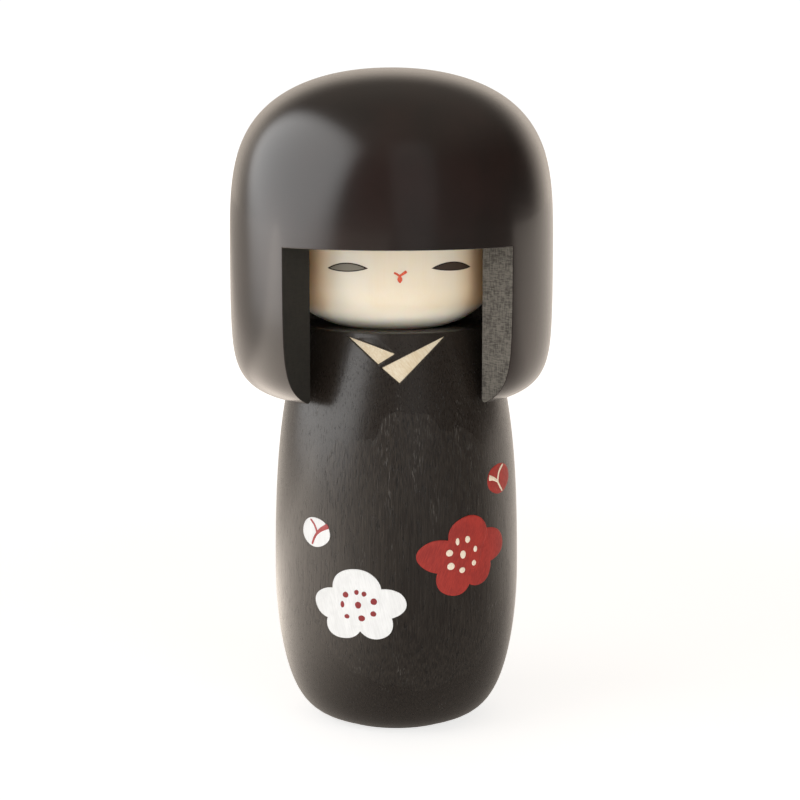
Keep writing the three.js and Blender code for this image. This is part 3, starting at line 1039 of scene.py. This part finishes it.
class KOKESHI_OT_white_blossom(Operator):
    """Paint the white blossom low on the left"""

    bl_idname = "kokeshi.white_blossom"
    bl_label = "White blossom"

    def execute(self, context):
        colours = context.scene.kokeshi_colours
        petals = [
            (-6.2, -0.2, 4.85, 3.6, 0.0),
            (6.2, 0.45, 4.6, 3.45, 0.02),
            (-3.6, -4.6, 4.35, 3.45, 0.1),
            (3.7, -4.15, 4.15, 3.55, -0.05),
            (-0.6, 3.4, 5.75, 4.75, 0.0),
            (0.0, -0.3, 5.0, 4.6, 0.0),
        ]
        dots = [
            (0.0, 0.0, 0.78, 0.85),
            (-2.95, 2.12, 0.75, 0.72),
            (-0.36, 2.88, 0.58, 0.62),
            (1.37, 2.6, 0.62, 0.62),
            (3.57, 0.99, 0.8, 0.8),
            (3.44, -1.81, 0.72, 0.68),
            (0.77, -2.98, 0.85, 0.75),
            (-2.68, -2.8, 0.66, 0.56),
            (-3.74, -0.14, 0.5, 0.82),
        ]
        white = paint("petal white", tuple(colours.white), (0.8, 0.8, 0.79, 1), lean=0.25)
        stamens = paint("stamen red", (0.3, 0.035, 0.038, 1), (0.25, 0.03, 0.03, 1), strength=0.3)
        centre = (radians(-20.4), 32.14 * MM)
        paint_petals("white_blossom", centre, petals, white)
        paint_dots("white_blossom_dots", centre, dots, stamens)
        return {"FINISHED"}


class KOKESHI_OT_red_blossom(Operator):
    """Paint the red blossom on the right"""

    bl_idname = "kokeshi.red_blossom"
    bl_label = "Red blossom"

    def execute(self, context):
        colours = context.scene.kokeshi_colours
        petals = [
            (4.2, -3.7, 4.3, 3.8, 0.15),
            (7.7, 1.2, 5.55, 3.9, -0.05),
            (-2.2, -5.2, 4.4, 4.0, -0.1),
            (-5.5, 0.0, 5.55, 3.75, -0.05),
            (1.7, 4.0, 5.4, 4.6, 0.2),
            (0.6, -0.2, 4.6, 4.0, 0.0),
        ]
        dots = [
            (0.0, 0.0, 0.78, 1.0),
            (-1.39, 3.04, 0.5, 0.88),
            (1.27, 3.26, 0.7, 0.85),
            (3.41, 0.85, 0.55, 0.75),
            (2.99, -2.26, 0.65, 0.68),
            (-0.21, -3.5, 0.8, 0.7),
            (-3.06, -2.35, 0.95, 0.85),
            (-3.4, 0.66, 0.9, 0.8),
        ]
        red = paint("petal red", tuple(colours.red), tuple(colours.red_dark), lean=-0.4)
        stamens = paint("stamen cream", (0.86, 0.76, 0.62, 1), (0.8, 0.66, 0.5, 1), strength=0.3)
        centre = (radians(28.6), 42.94 * MM)
        paint_petals("red_blossom", centre, petals, red)
        paint_dots("red_blossom_dots", centre, dots, stamens)
        return {"FINISHED"}


class KOKESHI_OT_buds(Operator):
    """Paint the white bud and the red bud"""

    bl_idname = "kokeshi.buds"
    bl_label = "Buds"

    def execute(self, context):
        colours = context.scene.kokeshi_colours
        white = paint("bud white", tuple(colours.white), (0.82, 0.81, 0.8, 1))
        red = paint("bud red", tuple(colours.red), tuple(colours.red_dark), lean=0.5)
        stem_red = paint("stem red", (0.36, 0.05, 0.05, 1), (0.44, 0.1, 0.1, 1), strength=0.3)
        stem_cream = paint("stem cream", (0.84, 0.72, 0.56, 1), (0.74, 0.58, 0.42, 1), strength=0.3)
        buds = [
            ("white_bud", -42.7, 47.3, (-0.15, 0.15, 4.05, 3.3, -0.12), white, "white_paint"),
            ("red_bud", 53.0, 58.34, (0.8, 0.1, 4.9, 3.35, 0.1), red, "red_paint"),
        ]
        stems = {
            "white_bud": (stem_red, "red_paint", [
                (((-1.71, 2.95), (-0.55, 1.95), (0.2, 0.6), (0.3, -0.2)), (0.6, 0.65, 0.7)),
                (
                    ((3.45, 1.95), (1.56, 1.0), (0.3, -0.1), (-0.45, -1.2), (-1.1, -2.7)),
                    (1.5, 1.2, 0.8, 0.75, 0.65),
                ),
            ]),
            "red_bud": (stem_cream, "cream_paint", [
                (
                    ((2.7, 3.1), (0.7, 1.7), (-0.1, -0.3), (0.6, -1.6), (1.7, -2.9)),
                    (0.6, 0.75, 0.7, 0.7, 0.6),
                ),
                (((-3.4, 0.75), (-1.8, 0.35), (-0.1, -0.5)), (1.6, 1.1, 0.7)),
            ]),
        }
        for name, bearing, height, oval, coat, slot in buds:
            centre = (radians(bearing), height * MM)
            coats = Coats(Surface(body_surface), context.scene.kokeshi_sizes.paint_thickness)
            coats.blob(centre, *scaled(*oval[:4]), tilt=oval[4], wobble=0.012, phase=1.3)
            painted_piece(name, coats, "body", coat)
            stem_coat, stem_slot, strokes = stems[name]
            coats = Coats(Surface(body_surface), STEM_THICKNESS)
            for i, (path, widths) in enumerate(strokes):
                coats.stroke(centre, [scaled(*point) for point in path], scaled(*widths), lift=0.01 * MM * i)
            painted_piece(name + "_stems", coats, "body", stem_coat)
        return {"FINISHED"}


class KOKESHI_OT_dowels(Operator):
    """Give the hidden dowels their bare wood"""

    bl_idname = "kokeshi.dowels"
    bl_label = "Dowels"

    def execute(self, context):
        beech = bare_dowel()
        for name in ("neck_dowel", "crown_dowel"):
            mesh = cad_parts[name].data
            mesh.materials.clear()
            mesh.materials.append(beech)
        return {"FINISHED"}


AIM = Vector((0, 0, 75 * MM))  # what the camera and the lamps point at
CAMERA_BEARING, CAMERA_RISE, CAMERA_DISTANCE = -3, 8.5, 0.48
# Name, bearing and rise in degrees, distance and size in metres, watts, and whether the gloss mirrors it
LAMPS = (
    ("side softbox", -82, 27, 0.55, (1.2, 0.84), 8.2, True),
    ("window strip", 13, 20, 0.9, (0.6, 1.2), 0.5, True),
    ("front fill", -32, 18, 0.9, (1.3, 0.8), 1.8, False),
    ("low fill", 0, 2, 0.9, (1.5, 0.14), 1.0, False),
    ("right fill", 32, 10, 0.8, (0.6, 0.5), 1.8, False),
    ("left fill", -70, 20, 0.8, (0.8, 0.6), 1.6, False),
)


class KOKESHI_OT_stage(Operator):
    """Set up the pale floor, the studio light and the camera"""

    bl_idname = "kokeshi.stage"
    bl_label = "Stage"

    def execute(self, context):
        self.floor()
        self.surroundings(context.scene)
        for lamp in LAMPS:
            self.softbox(*lamp)
        self.camera(context.scene)
        return {"FINISHED"}

    def floor(self):
        """A pale floor that glows like a lit paper sweep, dimmer in what mirrors it."""
        mesh = bpy.data.meshes.new("floor")
        reach = 4.0
        corners = [(-reach, -reach, 0), (reach, -reach, 0), (reach, reach, 0), (-reach, reach, 0)]
        mesh.from_pydata(corners, [], [(0, 1, 2, 3)])
        floor = bpy.data.objects.new("floor", mesh)
        bpy.context.scene.collection.objects.link(floor)
        material = bpy.data.materials.new("pale floor")
        material.use_nodes = True
        tree = material.node_tree
        shader = tree.nodes["Principled BSDF"]
        shader.inputs["Roughness"].default_value = 0.9
        shader.inputs["Specular IOR Level"].default_value = 0.0
        place = tree.nodes.new("ShaderNodeTexCoord").outputs["Object"]
        split = add(tree, "ShaderNodeSeparateXYZ", Vector=place).outputs
        across, depth = split["X"], split["Y"]
        reach_out = add(tree, "ShaderNodeVectorMath", {"operation": "LENGTH"})
        join(tree, reach_out.inputs[0], place)
        far = ramp(tree, reach_out.outputs["Value"], 0.15, 0.6, 0.72, 1.05)
        rays = tree.nodes.new("ShaderNodeLightPath").outputs
        glossy = rays["Is Glossy Ray"]
        near = ramp(tree, across, -0.04, -0.25, 0.06, 0.6)
        mirrored = ramp(tree, depth, -0.06, 0.12, near, 1.0)
        mirrored = calc(tree, "MULTIPLY", mirrored, ramp(tree, across, -0.6, -0.32, 0.6, 1.0))
        beside = ramp(tree, depth, -0.25, -0.02, 0.0, 1.35)
        beside = calc(tree, "MULTIPLY", beside, ramp(tree, across, 0.0, -0.08))
        beside = calc(tree, "MULTIPLY", beside, ramp(tree, depth, 0.22, 0.08))
        mirrored = calc(tree, "MULTIPLY", calc(tree, "ADD", mirrored, beside), glossy)
        plain = calc(tree, "SUBTRACT", 1.0, glossy)
        glow = calc(tree, "MULTIPLY_ADD", plain, far, mirrored)
        tint = blend_colours(tree, glossy, (1, 0.995, 0.985, 1), (1, 0.89, 0.78, 1))
        join(tree, shader.inputs["Emission Color"], tint)
        join(tree, shader.inputs["Emission Strength"], glow)
        grey = ramp(tree, glossy, 0, 1, 0.8, 0.15)
        greyness = add(tree, "ShaderNodeCombineColor", Red=grey, Green=grey, Blue=grey)
        join(tree, shader.inputs["Base Color"], greyness.outputs[0])
        mesh.materials.append(material)

    def surroundings(self, scene):
        """White behind the doll and dark behind the camera, so that the lacquer's edges catch the light."""
        world = bpy.data.worlds.new("white studio")
        scene.world = world
        world.use_nodes = True
        tree = world.node_tree
        background = tree.nodes["Background"]
        way = tree.nodes.new("ShaderNodeTexCoord").outputs["Generated"]
        split = add(tree, "ShaderNodeSeparateXYZ", Vector=way).outputs
        wall = calc(
            tree,
            "MULTIPLY",
            ramp(tree, split["Y"], 0.35, 0.85, 0.02, 1.3),
            ramp(tree, split["Y"], 0.85, 1.0, 1.0, 0.6),
        )
        wall = calc(tree, "MULTIPLY", wall, ramp(tree, split["Z"], 0.75, 0.25))
        wall = calc(tree, "MULTIPLY", wall, ramp(tree, split["X"], -0.8, -0.2, 0.6, 1.0))
        ceiling = ramp(tree, split["Z"], 0.3, 0.95, 0.0, 0.3)
        wall = calc(tree, "ADD", wall, ceiling)
        rays = tree.nodes.new("ShaderNodeLightPath").outputs
        strength = calc(tree, "MAXIMUM", wall, calc(tree, "MULTIPLY", rays["Is Camera Ray"], 1.05))
        tint = blend_colours(tree, rays["Is Camera Ray"], (1, 0.88, 0.76, 1), (1, 1, 1, 1))
        join(tree, background.inputs["Color"], tint)
        join(tree, background.inputs["Strength"], strength)

    def softbox(self, name, bearing, rise, distance, size, watts, mirrored):
        """A flat lamp that is either mirrored in the gloss or lights the matt colours."""
        light = bpy.data.lights.new(name, "AREA")
        light.shape, light.size, light.size_y = "RECTANGLE", size[0], size[1]
        light.energy = watts
        if mirrored:
            self.feather(light)
        lamp = bpy.data.objects.new(name, light)
        bpy.context.scene.collection.objects.link(lamp)
        out = outward(bearing, rise)
        lamp.location = AIM + out * distance
        lamp.rotation_euler = (-out).to_track_quat("-Z", "Y").to_euler()
        lamp.visible_glossy = mirrored
        lamp.visible_diffuse = not mirrored
        lamp.visible_camera = False

    def feather(self, light):
        """Fades a softbox towards its edges."""
        light.use_nodes = True
        tree = light.node_tree
        place = tree.nodes.new("ShaderNodeNewGeometry").outputs["Parametric"]
        split = add(tree, "ShaderNodeSeparateXYZ", Vector=place).outputs
        humps = [
            calc(tree, "MULTIPLY", way, calc(tree, "SUBTRACT", 1.0, way)) for way in (split["X"], split["Y"])
        ]
        hump = calc(tree, "MULTIPLY", *humps)
        join(tree, tree.nodes["Emission"].inputs["Strength"], ramp(tree, hump, 0.0, 0.04))

    def camera(self, scene):
        """A little above the doll, about half a metre away, with the picture plane shifted to frame it."""
        lens = bpy.data.cameras.new("camera")
        lens.sensor_width = 36
        lens.lens = 93.4
        lens.shift_x = 0.0046
        lens.shift_y = -0.0054
        lens.clip_start, lens.clip_end = 0.01, 20
        camera = bpy.data.objects.new("camera", lens)
        bpy.context.scene.collection.objects.link(camera)
        out = outward(CAMERA_BEARING, CAMERA_RISE)
        camera.location = AIM + out * CAMERA_DISTANCE
        camera.rotation_euler = (-out).to_track_quat("-Z", "Y").to_euler()
        scene.camera = camera
        scene.view_settings.view_transform = "Standard"


def outward(bearing, rise):
    """A direction out from the doll; bearing 0 is where the face looks."""
    a, e = radians(bearing), radians(rise)
    return Vector((sin(a) * cos(e), -cos(a) * cos(e), sin(e)))


class KOKESHI_PT_panel(Panel):
    """Lists the steps that make the doll"""

    bl_idname = "KOKESHI_PT_panel"
    bl_label = "Kokeshi doll"
    bl_space_type = "VIEW_3D"
    bl_region_type = "UI"
    bl_category = "Kokeshi"

    def draw(self, context):
        for step in STEPS:
            self.layout.operator(step.bl_idname)
        for group in (context.scene.kokeshi_sizes, context.scene.kokeshi_colours):
            box = self.layout.box()
            for name in group.__annotations__:
                box.prop(group, name)


STEPS = (
    KOKESHI_OT_stage,
    KOKESHI_OT_body,
    KOKESHI_OT_collar,
    KOKESHI_OT_face,
    KOKESHI_OT_features,
    KOKESHI_OT_hair,
    KOKESHI_OT_white_blossom,
    KOKESHI_OT_red_blossom,
    KOKESHI_OT_buds,
    KOKESHI_OT_dowels,
)
CLASSES = (KokeshiSizes, KokeshiColours, *STEPS, KOKESHI_PT_panel)


def register():
    for made in CLASSES:
        bpy.utils.register_class(made)
    bpy.types.Scene.kokeshi_sizes = PointerProperty(type=KokeshiSizes)
    bpy.types.Scene.kokeshi_colours = PointerProperty(type=KokeshiColours)


def unregister():
    del bpy.types.Scene.kokeshi_colours
    del bpy.types.Scene.kokeshi_sizes
    for made in reversed(CLASSES):
        bpy.utils.unregister_class(made)


def main():
    register()
    bpy.ops.kokeshi.stage()
    bpy.ops.kokeshi.body()
    bpy.ops.kokeshi.collar()
    bpy.ops.kokeshi.face()
    bpy.ops.kokeshi.features()
    bpy.ops.kokeshi.hair()
    bpy.ops.kokeshi.white_blossom()
    bpy.ops.kokeshi.red_blossom()
    bpy.ops.kokeshi.buds()
    bpy.ops.kokeshi.dowels()


if __name__ == "__main__":
    main()
